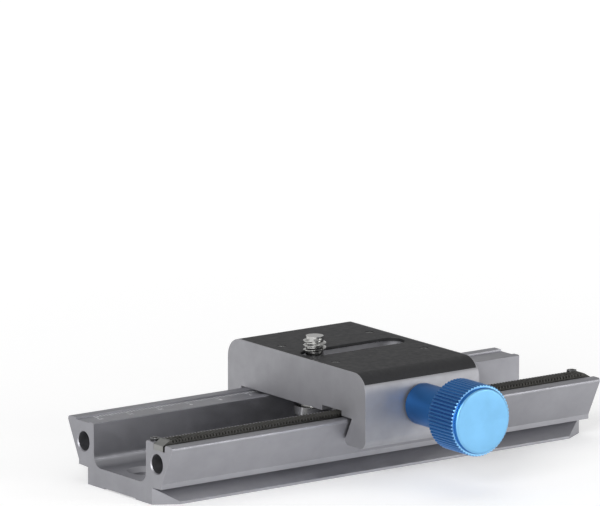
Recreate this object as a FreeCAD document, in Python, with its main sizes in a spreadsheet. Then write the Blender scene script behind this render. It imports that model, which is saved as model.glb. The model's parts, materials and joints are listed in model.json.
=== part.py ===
import FreeCAD, Part
import math
import os
from types import SimpleNamespace

import Sketcher

# Macro focusing rail: a carriage with a camera screw slides on a dovetail profile,
# moved by a knob through a rack and a pinion. Millimetres, X along the rail, Z up,
# the drive knob on the -Y side, origin at the middle of the rail's foot.

# Driving dimensions: name, value, meaning
SIZES = (
    ("rail_length", "145.6", "length of the rail"),
    ("rail_height", "17.35", "top of the rail's lips above the foot"),
    ("dovetail_width", "38", "width of the foot's dovetail flange"),
    ("dovetail_lip", "0.7", "upright edge of the flange"),
    ("dovetail_depth", "4", "depth and height of the flange's slope"),
    ("undercut_rise", "0.2", "fall of the undercut above the flange"),
    ("flank_foot_edge", "1.3", "upright edge at the foot of the flanks"),
    ("flank_lean", "5", "lean of each flank from its foot to its lip"),
    ("lip_edge", "0.95", "upright edge of the lips"),
    ("edge_break", "0.45", "broken edges of the rail"),
    ("outer_round", "0.8", "radius of the lips' outer edges"),
    ("foot_recess_width", "14.5", "shallow recess under the foot"),
    ("foot_recess_depth", "0.35", "depth of that recess"),
    ("corner_cut_length", "6.5", "slanting cut at the flange's corners"),
    ("channel_width", "24.4", "width of the channel between the walls"),
    ("channel_floor", "5.4", "height of the channel's floor"),
    ("channel_corner", "3.2", "radius in the channel's corners"),
    ("inner_lip_width", "3.45", "lip between the channel and the rack groove"),
    ("groove_width", "5.25", "width of the rack groove"),
    ("groove_depth", "1.95", "depth of the rack groove"),
    ("near_lip_width", "3.35", "outer lip of the near wall"),
    ("far_lip_width", "3.8", "outer lip of the far wall"),
    ("scale_band_width", "6", "band on the far wall that carries the scale"),
    ("scale_band_depth", "0.5", "depth of that band"),
    ("scale_edge_drop", "0.15", "drop of the far wall's inner edge"),
    ("scale_edge_break", "0.2", "broken inner edge of the far wall"),
    ("far_lip_rise", "0.2", "outer lip of the far wall above the near wall"),
    ("end_bore_radius", "2.65", "lengthwise bores in the walls"),
    ("end_bore_inset", "4.9", "axes of those bores from the channel"),
    ("end_bore_drop", "5.75", "axes of those bores below the rail's top"),
    ("bore_break", "0.3", "chamfer at the mouths of those bores"),
    ("small_thread_radius", "2.55", "tripod socket in the middle of the foot"),
    ("large_thread_radius", "3.97", "tripod sockets near the rail's ends"),
    ("large_thread_inset", "8.8", "large socket to the rail's end"),
    ("thread_break", "1.3", "chamfer of the large sockets on the channel's floor"),
    ("tooth_pitch", "1.02", "pitch of the rack's teeth"),
    ("pressure_angle", "20", "pressure angle of the teeth, degrees"),
    ("tooth_play", "0.06", "thinning of each tooth"),
    ("rack_width", "4.3", "width of the rack"),
    ("rack_side_gap", "0.05", "rack to the groove's inner side"),
    ("rack_end_gap", "0.05", "rack's ends to the rail's ends"),
    ("rack_bevel_length", "2.2", "length of the bevel at the rack's ends"),
    ("rack_bevel_height", "1.3", "height of that bevel"),
    ("rack_screw_inset", "6.6", "rack screws to the rail's ends"),
    ("rack_screw_radius", "0.8", "shank of the rack screws"),
    ("rack_screw_head_radius", "1.15", "head of the rack screws"),
    ("rack_screw_head_height", "0.7", "height of those heads"),
    ("rack_screw_seat", "1.3", "seat of those heads above the groove's floor"),
    ("rack_screw_reach", "0.9", "depth of those screws in the rail"),
    ("stop_screw_inset", "1.9", "end stop screws to the rail's ends"),
    ("stop_screw_radius", "0.8", "shank of the stop screws"),
    ("stop_screw_depth", "2.9", "depth of those screws in the rail"),
    ("stop_head_radius", "1.4", "head of the stop screws"),
    ("stop_head_height", "0.75", "height of those heads"),
    ("stop_socket_radius", "0.75", "hexagon socket in those heads, to its corners"),
    ("stop_socket_depth", "0.55", "depth of that socket"),
    ("carriage_offset", "5.45", "middle of the carriage from the rail's middle"),
    ("carriage_length", "38.7", "length of the carriage"),
    ("carriage_overhang", "7.45", "carriage past the rail's lips on each side"),
    ("carriage_rise", "13.25", "camera platform above the rail's top"),
    ("skirt_reach", "7.35", "lower edge of the skirts below the rail's top"),
    ("shoulder_radius", "5.5", "radius of the carriage's upper edges"),
    ("skirt_radius", "2.4", "radius of the skirts' lower edges"),
    ("skirt_lead", "1.1", "chamfer inside the skirts' lower edges"),
    ("slide_gap", "0.1", "gap between the carriage and the far wall's top"),
    ("flank_gap", "0.7", "gap between the carriage and the rail's flanks"),
    ("rack_pocket_rise", "1.45", "relief in the carriage above the rack"),
    ("rack_pocket_margin", "0.2", "relief past the inner lip"),
    ("mat_thickness", "0.8", "covering of the carriage's top"),
    ("mat_inset", "0.35", "covering to the carriage's end faces"),
    ("mat_drop", "2.75", "lower edge of the covering below the platform"),
    ("mat_screw_inset", "4.3", "covering's screws to the end faces"),
    ("mat_screw_spacing", "24.9", "distance between those screws across the rail"),
    ("mat_screw_radius", "0.8", "shank of those screws"),
    ("mat_screw_head_radius", "1.2", "head of those screws"),
    ("mat_screw_head_height", "0.4", "height of those heads"),
    ("mat_screw_sink", "0.1", "heads below the covering's surface"),
    ("mat_screw_depth", "4.5", "depth of those screws in the carriage"),
    ("mat_screw_socket", "0.55", "socket in those heads"),
    ("slot_radius", "3.4", "half width of the camera screw's slot"),
    ("slot_travel", "26", "way of the camera screw along the slot"),
    ("clip_track_radius", "4.9", "half width of the clip's track over the slot"),
    ("clip_track_depth", "2.4", "depth of that track under the covering"),
    ("mat_slot_radius", "3.9", "half width of the slot in the covering"),
    ("fit_gap", "0.02", "radial gap of pressed and screwed pieces"),
    ("running_gap", "0.05", "radial gap of turning pieces"),
    ("glide_gap", "0.08", "gap between the glide strips and the rail"),
    ("glide_drop", "1.25", "side glide strips below the rail's top"),
    ("glide_height", "4.2", "height of the side glide strips"),
    ("glide_thickness", "1.4", "thickness of the side glide strips"),
    ("near_glide_length", "32", "length of the near strip"),
    ("far_glide_length", "11", "length of each far strip"),
    ("far_glide_spacing", "27", "distance between the middles of the far strips"),
    ("top_glide_width", "2.2", "width of the top glide strips"),
    ("top_glide_thickness", "0.5", "thickness of the top glide strips"),
    ("set_screw_radius", "2", "grub screws behind the far strips"),
    ("set_screw_length", "4.5", "length of those screws"),
    ("set_screw_socket", "1.15", "socket in those screws, to its corners"),
    ("set_screw_socket_depth", "2", "depth of that socket"),
    ("stop_pin_radius", "1", "pins in the carriage that meet the stop screws"),
    ("stop_pin_inset", "4.4", "those pins to the carriage's end faces"),
    ("stop_pin_depth", "5", "depth of those pins above the rack relief"),
    ("drive_offset", "-0.75", "axis of the drive from the carriage's middle"),
    ("shaft_rise", "3.35", "axis of the drive above the rail's top"),
    ("shaft_radius", "1.75", "radius of the pinion shaft"),
    ("pinion_teeth", "17", "teeth of the pinion"),
    ("pinion_width", "5", "width of the pinion"),
    ("pinion_room", "0.55", "room in the carriage around the pinion"),
    ("thrust_washer_thickness", "0.5", "washer between the pinion and the outer bush"),
    ("thrust_washer_radius", "2.85", "radius of that washer"),
    ("washer_play", "0.08", "axial gap beside each washer"),
    ("bush_radius", "2.4", "outer radius of the bushes"),
    ("outer_bush_recess", "0.2", "outer bush below the carriage's side"),
    ("inner_bush_length", "5.5", "length of the inner bush"),
    ("shaft_end_gap", "0.4", "shaft's inner end past the inner bush"),
    ("sleeve_washer_thickness", "0.4", "washer between the sleeve and the carriage"),
    ("sleeve_washer_radius", "5.2", "radius of that washer"),
    ("sleeve_radius", "5.75", "radius of the knob's sleeve"),
    ("sleeve_length", "15.74", "length of the sleeve"),
    ("sleeve_break", "0.3", "chamfer at the sleeve's ends"),
    ("knob_radius", "9.85", "radius of the drive knob"),
    ("knob_width", "10.5", "width of the drive knob"),
    ("knob_break", "0.15", "chamfer at the knob's rims"),
    ("knurl_depth", "0.38", "depth of the drive knob's grooves"),
    ("knurl_count", "60", "grooves around the drive knob"),
    ("cap_radius", "9.15", "radius of the knob's cap"),
    ("cap_height", "1.2", "cap above the knob's rim"),
    ("cap_round", "0.95", "rounded edge of the cap"),
    ("cap_dish", "0.15", "hollow in the middle of the cap"),
    ("cap_spigot_radius", "7.8", "spigot of the cap"),
    ("cap_spigot_length", "1", "length of that spigot"),
    ("knob_screw_radius", "1", "screw that holds the knob"),
    ("knob_screw_length", "6", "depth of that screw in the shaft"),
    ("knob_screw_head_radius", "2.4", "head of that screw"),
    ("knob_screw_head_height", "2", "height of that head"),
    ("knob_screw_socket", "1.15", "socket in that head, to its corners"),
    ("knob_screw_socket_depth", "1.2", "depth of that socket"),
    ("head_room", "0.4", "room around the heads of sunk screws"),
    ("camera_thread_radius", "3.175", "thread of the camera screw"),
    ("camera_thread_reach", "4.9", "thread above the camera platform"),
    ("camera_thread_start", "0.1", "start of the thread below the platform"),
    ("camera_thread_break", "0.6", "chamfer of the thread's tip"),
    ("camera_shank_radius", "2.4", "plain shank of the camera screw"),
    ("camera_head_radius", "5.75", "head of the camera screw"),
    ("camera_head_height", "3", "height of that head"),
    ("camera_head_break", "0.7", "chamfer of that head"),
    ("camera_collar_radius", "4", "collar on that head"),
    ("camera_collar_height", "0.5", "height of that collar"),
    ("camera_socket_radius", "2.9", "hexagon socket in that head, to its corners"),
    ("camera_socket_depth", "2.2", "depth of that socket"),
    ("slot_washer_radius", "5", "washer under the slot"),
    ("slot_washer_thickness", "0.6", "thickness of that washer"),
    ("slot_washer_gap", "0.1", "gap on each side of that washer"),
    ("clip_radius", "4.5", "clip that keeps the camera screw in the slot"),
    ("clip_thickness", "0.8", "thickness of that clip"),
    ("clip_lift", "0.2", "clip above its track"),
    ("clip_opening", "2.6", "opening of that clip"),
    ("lock_drop", "3.75", "axis of the carriage lock below the rail's top"),
    ("lock_bore_radius", "2.5", "bore of the lock in the far skirt"),
    ("lock_shoe_gap", "0.6", "open lock's shoe to the rail's flank"),
    ("lock_shoe_length", "3.92", "length of the shoe on its axis"),
    ("lock_shoe_play", "0.1", "gap between the shoe and its bore or its screw"),
    ("lock_knob_gap", "0.8", "open lock's knob to the carriage"),
    ("lock_boss_radius", "4.5", "boss of the lock knob"),
    ("lock_boss_length", "2", "length of that boss"),
    ("lock_knob_radius", "7", "radius of the lock knob"),
    ("lock_knob_width", "7", "width of the lock knob"),
    ("lock_knob_break", "0.5", "chamfer at that knob's rims"),
    ("lock_knurl_depth", "0.35", "depth of that knob's grooves"),
    ("lock_knurl_count", "45", "grooves around that knob"),
    ("lock_screw_depth", "6", "depth of the lock's screw in its knob"),
)

ORIGIN_PLANES = {"XY": ("XY_Plane", 1), "XZ": ("XZ_Plane", -1), "YZ": ("YZ_Plane", 1)}
ENDS = {"front": -1, "rear": 1}
SIDES = {"near": -1, "far": 1}
CUT_MARGIN = 1
KNURL_LAND_SHARE = 0.3
SMALLEST_CUT = 0.001


class Length:
    """A size or a sum of sizes, as an expression that the document works out."""

    def __init__(self, text):
        self.text = text

    def __add__(self, other):
        return Length(f"({self.text} + {text_of(other)})")

    def __radd__(self, other):
        return Length(f"({text_of(other)} + {self.text})")

    def __sub__(self, other):
        return Length(f"({self.text} - {text_of(other)})")

    def __rsub__(self, other):
        return Length(f"({text_of(other)} - {self.text})")

    def __mul__(self, other):
        return Length(f"({self.text} * {text_of(other)})")

    def __rmul__(self, other):
        return Length(f"({text_of(other)} * {self.text})")

    def __truediv__(self, other):
        return Length(f"({self.text} / {text_of(other)})")

    def __neg__(self):
        return Length(f"(0 - {self.text})")


def text_of(value):
    return value.text if isinstance(value, Length) else str(value)


def root_of(value):
    return Length(f"sqrt({value.text})")


def number(value):
    return float(sizes.evalExpression(value.text)) if isinstance(value, Length) else float(value)


def is_zero(value):
    return not isinstance(value, Length) and value == 0


# The document and its sheet of sizes
doc = FreeCAD.newDocument("macro_focusing_rail")
sizes = doc.addObject("Spreadsheet::Sheet", "sizes")
for row, (alias, value, meaning) in enumerate(SIZES, start=1):
    sizes.set(f"A{row}", alias)
    sizes.set(f"B{row}", value)
    sizes.set(f"C{row}", meaning)
    sizes.setAlias(f"B{row}", alias)
doc.recompute()
s = SimpleNamespace(**{alias: Length(f"sizes.{alias}") for alias, value, meaning in SIZES})

sub_parts = []


def new_body(label, x=0, y=0, z=0):
    """A body whose placement follows the sheet."""
    body = doc.addObject("PartDesign::Body", label)
    body.Label = label
    for axis, place in zip("xyz", (x, y, z)):
        if not is_zero(place):
            body.setExpression(f"Placement.Base.{axis}", text_of(place))
    sub_parts.append(body)
    return body


def new_sketch(body, plane, offset=0):
    role, side = ORIGIN_PLANES[plane]
    support = next(item for item in body.Origin.OriginFeatures if item.Role == role)
    sketch = body.newObject("Sketcher::SketchObject", f"{body.Label}_sketch")
    sketch.AttachmentSupport = [(support, "")]
    sketch.MapMode = "FlatFace"
    if not is_zero(offset):
        sketch.setExpression("AttachmentOffset.Base.z", text_of(offset * side))
    return sketch


def fix_point(sketch, geometry, position, x, y):
    """Ties a point of the sketch to its place on the sheet."""
    for kind, axis, place in (("DistanceX", -2, x), ("DistanceY", -1, y)):
        if is_zero(place):
            sketch.addConstraint(Sketcher.Constraint("PointOnObject", geometry, position, axis))
            continue
        constraint = Sketcher.Constraint(kind, -1, 1, geometry, position, number(place))
        index = sketch.addConstraint(constraint)
        sketch.setExpression(f"Constraints[{index}]", text_of(place))


def fix_radius(sketch, geometry, radius):
    index = sketch.addConstraint(Sketcher.Constraint("Radius", geometry, number(radius)))
    sketch.setExpression(f"Constraints[{index}]", text_of(radius))


def arc_between(start, end, radius, clockwise):
    """The short arc of a radius from start to end, as a counterclockwise curve."""
    if clockwise:
        start, end = end, start
    chord = end - start
    rise = math.sqrt(max(radius**2 - (chord.Length / 2) ** 2, 0))
    to_centre = FreeCAD.Vector(-chord.y, chord.x, 0).normalize() * rise
    centre = (start + end) / 2 + to_centre
    angles = [math.atan2(point.y - centre.y, point.x - centre.x) for point in (start, end)]
    circle = Part.Circle(centre, FreeCAD.Vector(0, 0, 1), radius)
    return Part.ArcOfCircle(circle, *angles)


def draw_loop(sketch, points):
    """Draws a closed outline through (x, y). A third value is the radius of an arc to the next
    point, negative where the arc runs clockwise."""
    places = [FreeCAD.Vector(number(point[0]), number(point[1]), 0) for point in points]
    ends = []
    for index, point in enumerate(points):
        start, end = places[index], places[(index + 1) % len(points)]
        if len(point) == 2:
            geometry = sketch.addGeometry(Part.LineSegment(start, end), False)
            ends.append((geometry, 1, 2))
            continue
        clockwise = number(point[2]) < 0
        arc = arc_between(start, end, abs(number(point[2])), clockwise)
        geometry = sketch.addGeometry(arc, False)
        ends.append((geometry, 2, 1) if clockwise else (geometry, 1, 2))
    for index, point in enumerate(points):
        geometry, first, last = ends[index]
        before, _, before_last = ends[index - 1]
        joint = Sketcher.Constraint("Coincident", before, before_last, geometry, first)
        sketch.addConstraint(joint)
        fix_point(sketch, geometry, first, point[0], point[1])
    for (geometry, _, _), point in zip(ends, points):
        if len(point) == 3:
            radius = -point[2] if number(point[2]) < 0 else point[2]
            fix_radius(sketch, geometry, radius)


def draw_circle(sketch, x, y, radius):
    centre = FreeCAD.Vector(number(x), number(y), 0)
    circle = Part.Circle(centre, FreeCAD.Vector(0, 0, 1), number(radius))
    geometry = sketch.addGeometry(circle, False)
    fix_point(sketch, geometry, 3, x, y)
    fix_radius(sketch, geometry, radius)


def layer(body, plane, low, high, shapes, cut=False):
    """Adds or cuts a layer between two heights over an origin plane. A shape is a list of points
    for an outline or a tuple (x, y, radius) for a circle."""
    sketch = new_sketch(body, plane, (low + high) / 2)
    for shape in shapes:
        if isinstance(shape, tuple):
            draw_circle(sketch, *shape)
        else:
            draw_loop(sketch, shape)
    kind = "Pocket" if cut else "Pad"
    feature = body.newObject(f"PartDesign::{kind}", f"{body.Label}_{kind.lower()}")
    feature.Profile = sketch
    feature.SideType = "Symmetric"
    feature.setExpression("Length", text_of(high - low))
    return feature


def turned(body, plane, profile):
    """Turns a profile of (radius, height) points around the plane's upright axis."""
    sketch = new_sketch(body, plane)
    draw_loop(sketch, profile)
    feature = body.newObject("PartDesign::Revolution", f"{body.Label}_revolution")
    feature.Profile = sketch
    feature.ReferenceAxis = (sketch, ["V_Axis"])
    feature.Angle = 360
    return feature


def chamfer(body, base, size, wanted):
    """Chamfers the edges of the base that the test picks."""
    doc.recompute()
    names = [f"Edge{i}" for i, edge in enumerate(base.Shape.Edges, start=1) if wanted(edge)]
    feature = body.newObject("PartDesign::Chamfer", f"{body.Label}_chamfer")
    feature.Base = (base, names)
    feature.setExpression("Size", text_of(size))
    return feature


def is_rim(edge, radius, height=None, end=None):
    """True for a full circle of that radius at a height or at a distance along the rail."""
    if not isinstance(edge.Curve, Part.Circle) or len(edge.Vertexes) > 1:
        return False
    centre = edge.Curve.Center
    right_size = math.isclose(edge.Curve.Radius, number(radius), abs_tol=1e-4)
    right_height = height is None or math.isclose(centre.z, number(height), abs_tol=1e-4)
    right_end = end is None or math.isclose(abs(centre.x), number(end), abs_tol=1e-4)
    return right_size and right_height and right_end


def ring(inner, outer, low, high):
    """The profile of a plain ring."""
    return [(inner, low), (outer, low), (outer, high), (inner, high)]


def rectangle(x_low, x_high, y_low, y_high):
    return [(x_low, y_low), (x_high, y_low), (x_high, y_high), (x_low, y_high)]


def stadium(half_travel, radius):
    """The outline of a slot along X."""
    return [
        (-half_travel, -radius),
        (half_travel, -radius, radius),
        (half_travel + radius, 0, radius),
        (half_travel, radius),
        (-half_travel, radius, radius),
        (-half_travel - radius, 0, radius),
    ]


def hexagon(radius):
    """The outline of a hexagon socket, its corners at that radius."""
    half = radius / 2
    rise = half * math.sqrt(3)
    return [(radius, 0), (half, rise), (-half, rise), (-radius, 0), (-half, -rise), (half, -rise)]


def new_feature(label, shape, placement):
    """A piece whose shape comes from the sheet by way of this file."""
    feature = doc.addObject("Part::Feature", label)
    feature.Label = label
    feature.Shape = shape
    feature.Placement = placement
    sub_parts.append(feature)
    return feature


# Places that several pieces share
half_length = s.rail_length / 2
half_channel = s.channel_width / 2
groove_inner = half_channel + s.inner_lip_width
groove_outer = groove_inner + s.groove_width
groove_floor = s.rail_height - s.groove_depth
half_top = groove_outer + s.near_lip_width
half_foot = half_top - s.flank_lean
half_dovetail = s.dovetail_width / 2
half_neck = half_dovetail - s.dovetail_depth
dovetail_top = s.dovetail_lip + s.dovetail_depth
undercut = dovetail_top + s.undercut_rise
flank_start = undercut + s.flank_foot_edge
flank_end = s.rail_height - s.lip_edge
flank_slope = s.flank_lean / (flank_end - flank_start)
inner_lip_middle = -(half_channel + s.inner_lip_width / 2)
far_top = s.rail_height + s.far_lip_rise
lip_tops = {"near": s.rail_height, "far": far_top}
underside = far_top + s.slide_gap
half_carriage = s.carriage_length / 2
half_carriage_width = half_top + s.carriage_overhang
carriage_top = s.rail_height + s.carriage_rise
carriage_bottom = s.rail_height - s.skirt_reach
pocket_inner = half_channel - s.rack_pocket_margin
rack_pocket_top = underside + s.rack_pocket_rise
mat_floor = carriage_top - s.mat_thickness
stop_pin_x = half_carriage - s.stop_pin_inset
glide_high = s.rail_height - s.glide_drop
glide_low = glide_high - s.glide_height
glide_middle = (glide_low + glide_high) / 2
slot_half_travel = s.slot_travel / 2
camera_screw_x = s.carriage_offset - slot_half_travel
drive_x = s.carriage_offset + s.drive_offset

# Rack and pinion
shaft_height = s.rail_height + s.shaft_rise
pitch_radius = s.tooth_pitch * s.pinion_teeth / (2 * math.pi)
tooth_module = s.tooth_pitch / math.pi
pitch_line = shaft_height - pitch_radius
rack_top = pitch_line + tooth_module
tooth_root = 1.25 * tooth_module
rack_middle = -(groove_inner + s.rack_side_gap + s.rack_width / 2)
pinion_tip = pitch_radius + tooth_module
pinion_inner = rack_middle + s.pinion_width / 2
pinion_outer = rack_middle - s.pinion_width / 2
thrust_outer = pinion_outer - s.washer_play - s.thrust_washer_thickness
cavity_outer = thrust_outer - s.washer_play
cavity_inner = pinion_inner + s.pinion_room
inner_bush_end = s.inner_bush_length - pocket_inner
shaft_inner = inner_bush_end + s.shaft_end_gap

# Knob, from the carriage outwards
sleeve_washer_end = -half_carriage_width - s.washer_play - s.sleeve_washer_thickness
sleeve_start = sleeve_washer_end - s.washer_play
knob_back = sleeve_start - s.sleeve_length
knob_front = knob_back - s.knob_width
cap_seat = knob_front + s.cap_spigot_length
knob_screw_seat = cap_seat + s.head_room + s.knob_screw_head_height
shaft_outer = knob_screw_seat + s.fit_gap

# Lock
lock_height = s.rail_height - s.lock_drop
lock_boss_start = half_carriage_width + s.lock_knob_gap
lock_knob_start = lock_boss_start + s.lock_boss_length


def flank(height):
    """Half width of the rail's sloping flank at a height."""
    return half_foot + flank_slope * (height - flank_start)


lock_shoe_back = flank(lock_height) + s.lock_shoe_gap + s.lock_shoe_length
lock_screw_start = lock_shoe_back + s.lock_shoe_play


def rail_profile():
    far_band_outer = half_top - s.far_lip_width
    far_band_inner = far_band_outer - s.scale_band_width
    band_floor = far_top - s.scale_band_depth
    far_edge = far_top - s.scale_edge_drop
    far_break = s.scale_edge_break
    top = s.rail_height
    edge = s.edge_break
    outer = s.outer_round
    floor = s.channel_floor
    corner = s.channel_corner
    half_recess = s.foot_recess_width / 2
    return [
        (half_recess, 0),
        (half_dovetail, 0),
        (half_dovetail, s.dovetail_lip),
        (half_neck, dovetail_top),
        (half_foot, undercut),
        (half_foot, flank_start),
        (half_top, flank_end),
        (half_top, far_top - outer, outer),
        (half_top - outer, far_top),
        (far_band_outer, far_top),
        (far_band_outer, band_floor),
        (far_band_inner, band_floor),
        (far_band_inner, far_edge),
        (half_channel + far_break, far_edge),
        (half_channel, far_edge - far_break),
        (half_channel, floor + corner, -corner),
        (half_channel - corner, floor),
        (corner - half_channel, floor, -corner),
        (-half_channel, floor + corner),
        (-half_channel, top - edge),
        (-half_channel - edge, top),
        (edge - groove_inner, top),
        (-groove_inner, top - edge),
        (-groove_inner, groove_floor),
        (-groove_outer, groove_floor),
        (-groove_outer, top - edge),
        (-groove_outer - edge, top),
        (outer - half_top, top, outer),
        (-half_top, top - outer),
        (-half_top, flank_end),
        (-half_foot, flank_start),
        (-half_foot, undercut),
        (-half_neck, dovetail_top),
        (-half_dovetail, s.dovetail_lip),
        (-half_dovetail, 0),
        (-half_recess, 0),
        (-half_recess, s.foot_recess_depth),
        (half_recess, s.foot_recess_depth),
    ]


def corner_cut(end, side):
    """The slanting cut at one corner of the flange, seen from above."""
    depth = s.dovetail_depth
    far_x = half_length - s.corner_cut_length * (depth + CUT_MARGIN) / depth
    return [
        (end * half_length, side * half_neck),
        (end * (half_length + CUT_MARGIN), side * half_neck),
        (end * (half_length + CUT_MARGIN), side * (half_dovetail + CUT_MARGIN)),
        (end * far_x, side * (half_dovetail + CUT_MARGIN)),
    ]


def make_rail_extrusion():
    body = new_body("rail_extrusion")
    bore_y = half_channel + s.end_bore_inset
    bore_height = s.rail_height - s.end_bore_drop
    bores = [(side * bore_y, bore_height, s.end_bore_radius) for side in SIDES.values()]
    layer(body, "YZ", -half_length, half_length, [rail_profile()] + bores)
    corners = [corner_cut(end, side) for end in ENDS.values() for side in SIDES.values()]
    layer(body, "XY", Length(str(-CUT_MARGIN)), dovetail_top, corners, cut=True)
    socket_x = half_length - s.large_thread_inset
    sockets = [(end * socket_x, 0, s.large_thread_radius) for end in ENDS.values()]
    sockets.append((0, 0, s.small_thread_radius))
    layer(body, "XY", Length(str(-CUT_MARGIN)), s.channel_floor + CUT_MARGIN, sockets, cut=True)
    stop_x = half_length - s.stop_screw_inset
    stop_radius = s.stop_screw_radius + s.fit_gap
    stops = [(end * stop_x, inner_lip_middle, stop_radius) for end in ENDS.values()]
    stop_floor = s.rail_height - s.stop_screw_depth - s.fit_gap
    layer(body, "XY", stop_floor, s.rail_height + CUT_MARGIN, stops, cut=True)
    rack_x = half_length - s.rack_screw_inset
    rack_radius = s.rack_screw_radius + s.fit_gap
    rack_holes = [(end * rack_x, rack_middle, rack_radius) for end in ENDS.values()]
    rack_floor = groove_floor - s.rack_screw_reach - s.fit_gap
    base = layer(body, "XY", rack_floor, groove_floor + CUT_MARGIN, rack_holes, cut=True)
    base = chamfer(
        body,
        base,
        s.thread_break,
        lambda edge: is_rim(edge, s.large_thread_radius, height=s.channel_floor),
    )
    chamfer(
        body,
        base,
        s.bore_break,
        lambda edge: is_rim(edge, s.end_bore_radius, end=half_length),
    )


def make_gear_rack():
    """A flat bar with straight teeth across it, with a gap between teeth at the middle."""
    pitch = number(s.tooth_pitch)
    tip = number(rack_top)
    module = number(tooth_module)
    root = number(pitch_line) - number(tooth_root)
    lean = math.tan(math.radians(number(s.pressure_angle)))
    at_pitch_line = pitch / 4 + number(s.tooth_play) / 2
    mouth = at_pitch_line + module * lean
    bed = at_pitch_line - number(tooth_root) * lean
    floor = number(groove_floor)
    end = number(half_length) - number(s.rack_end_gap)
    shoulder = end - number(s.rack_bevel_length)
    bevel = tip - number(s.rack_bevel_height)
    gaps = math.floor((shoulder - mouth) / pitch)
    outline = [(-end, floor), (-end, bevel), (-shoulder, tip)]
    for gap in range(-gaps, gaps + 1):
        middle = gap * pitch
        outline += [(middle - mouth, tip), (middle - bed, root)]
        outline += [(middle + bed, root), (middle + mouth, tip)]
    outline += [(shoulder, tip), (end, bevel), (end, floor)]
    side = number(rack_middle) - number(s.rack_width) / 2
    points = [FreeCAD.Vector(x, side, z) for x, z in outline]
    wire = Part.makePolygon(points + points[:1])
    bar = Part.Face(wire).extrude(FreeCAD.Vector(0, number(s.rack_width), 0))
    seat = floor + number(s.rack_screw_seat)
    shank = number(s.rack_screw_radius) + number(s.fit_gap)
    head = number(s.rack_screw_head_radius) + number(s.fit_gap)
    for end_side in ENDS.values():
        x = end_side * (number(half_length) - number(s.rack_screw_inset))
        hole_at = FreeCAD.Vector(x, number(rack_middle), floor - CUT_MARGIN)
        seat_at = FreeCAD.Vector(x, number(rack_middle), seat)
        bar = bar.cut(Part.makeCylinder(shank, seat - floor + 2 * CUT_MARGIN, hole_at))
        bar = bar.cut(Part.makeCylinder(head, tip - seat + CUT_MARGIN, seat_at))
    new_feature("gear_rack", bar, FreeCAD.Placement())


def make_socket_screw(label, place, shank, head, socket):
    """A socket screw along Z: the shank as (radius, low), the head as (radius, low, high) and the
    hexagon socket as (radius, depth)."""
    head_radius, seat, top = head
    body = new_body(label, **place)
    layer(body, "XY", shank[1], seat, [(0, 0, shank[0])])
    layer(body, "XY", seat, top, [(0, 0, head_radius)])
    layer(body, "XY", top - socket[1], top, [hexagon(socket[0])], cut=True)


def make_rail_screws():
    rack_seat = groove_floor + s.rack_screw_seat
    rack_head = (s.rack_screw_head_radius, rack_seat, rack_seat + s.rack_screw_head_height)
    rack_shank = (s.rack_screw_radius, groove_floor - s.rack_screw_reach)
    rack_socket = (s.rack_screw_head_radius / 2, s.rack_screw_head_height / 2)
    stop_head = (s.stop_head_radius, s.rail_height, s.rail_height + s.stop_head_height)
    stop_shank = (s.stop_screw_radius, s.rail_height - s.stop_screw_depth)
    stop_socket = (s.stop_socket_radius, s.stop_socket_depth)
    for name, end in ENDS.items():
        place = {"x": end * (half_length - s.rack_screw_inset), "y": rack_middle}
        make_socket_screw(f"rack_screw_{name}", place, rack_shank, rack_head, rack_socket)
        place = {"x": end * (half_length - s.stop_screw_inset), "y": inner_lip_middle}
        make_socket_screw(f"end_stop_screw_{name}", place, stop_shank, stop_head, stop_socket)


def carriage_profile():
    top = carriage_top
    bottom = carriage_bottom
    shoulder = s.shoulder_radius
    skirt = s.skirt_radius
    wide = half_carriage_width
    lead_height = bottom + s.skirt_lead
    flank_low = flank(lead_height) + s.flank_gap
    flank_high = flank(underside) + s.flank_gap
    return [
        (flank_low + s.skirt_lead, bottom),
        (wide - skirt, bottom, skirt),
        (wide, bottom + skirt),
        (wide, top - shoulder, shoulder),
        (wide - shoulder, top),
        (shoulder - wide, top, shoulder),
        (-wide, top - shoulder),
        (-wide, bottom + skirt, skirt),
        (skirt - wide, bottom),
        (-flank_low - s.skirt_lead, bottom),
        (-flank_low, lead_height),
        (-flank_high, underside),
        (-groove_outer, underside),
        (-groove_outer, rack_pocket_top),
        (-pocket_inner, rack_pocket_top),
        (-pocket_inner, underside),
        (flank_high, underside),
        (flank_low, lead_height),
    ]


def mat_profile():
    """The covering's section: a skin over the top and down the shoulders."""
    outer = s.shoulder_radius
    inner = outer - s.mat_thickness
    arc_y = half_carriage_width - outer
    edge = carriage_top - s.mat_drop
    drop = outer - s.mat_drop
    outer_edge = arc_y + root_of(outer * outer - drop * drop)
    inner_edge = arc_y + root_of(inner * inner - drop * drop)
    return [
        (outer_edge, edge, outer),
        (arc_y, carriage_top),
        (-arc_y, carriage_top, outer),
        (-outer_edge, edge),
        (-inner_edge, edge, -inner),
        (-arc_y, mat_floor),
        (arc_y, mat_floor, -inner),
        (inner_edge, edge),
    ]


def side_glide_profile(side, inner_gap):
    """A glide strip's section, parallel to the rail's flank."""
    inner_low = flank(glide_low) + inner_gap
    inner_high = flank(glide_high) + inner_gap
    outer_low = flank(glide_low) + s.glide_gap + s.glide_thickness
    outer_high = flank(glide_high) + s.glide_gap + s.glide_thickness
    return [
        (side * inner_low, glide_low),
        (side * outer_low, glide_low),
        (side * outer_high, glide_high),
        (side * inner_high, glide_high),
    ]


def top_glide_profile(name, gap):
    """The section of the strip that runs on a wall's outer lip, at a gap above the lip."""
    middle = half_top - s.far_lip_width / 2
    half = s.top_glide_width / 2
    side = SIDES[name]
    top = lip_tops[name] + s.glide_gap + s.top_glide_thickness
    return rectangle(side * (middle - half), side * (middle + half), lip_tops[name] + gap, top)


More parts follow.
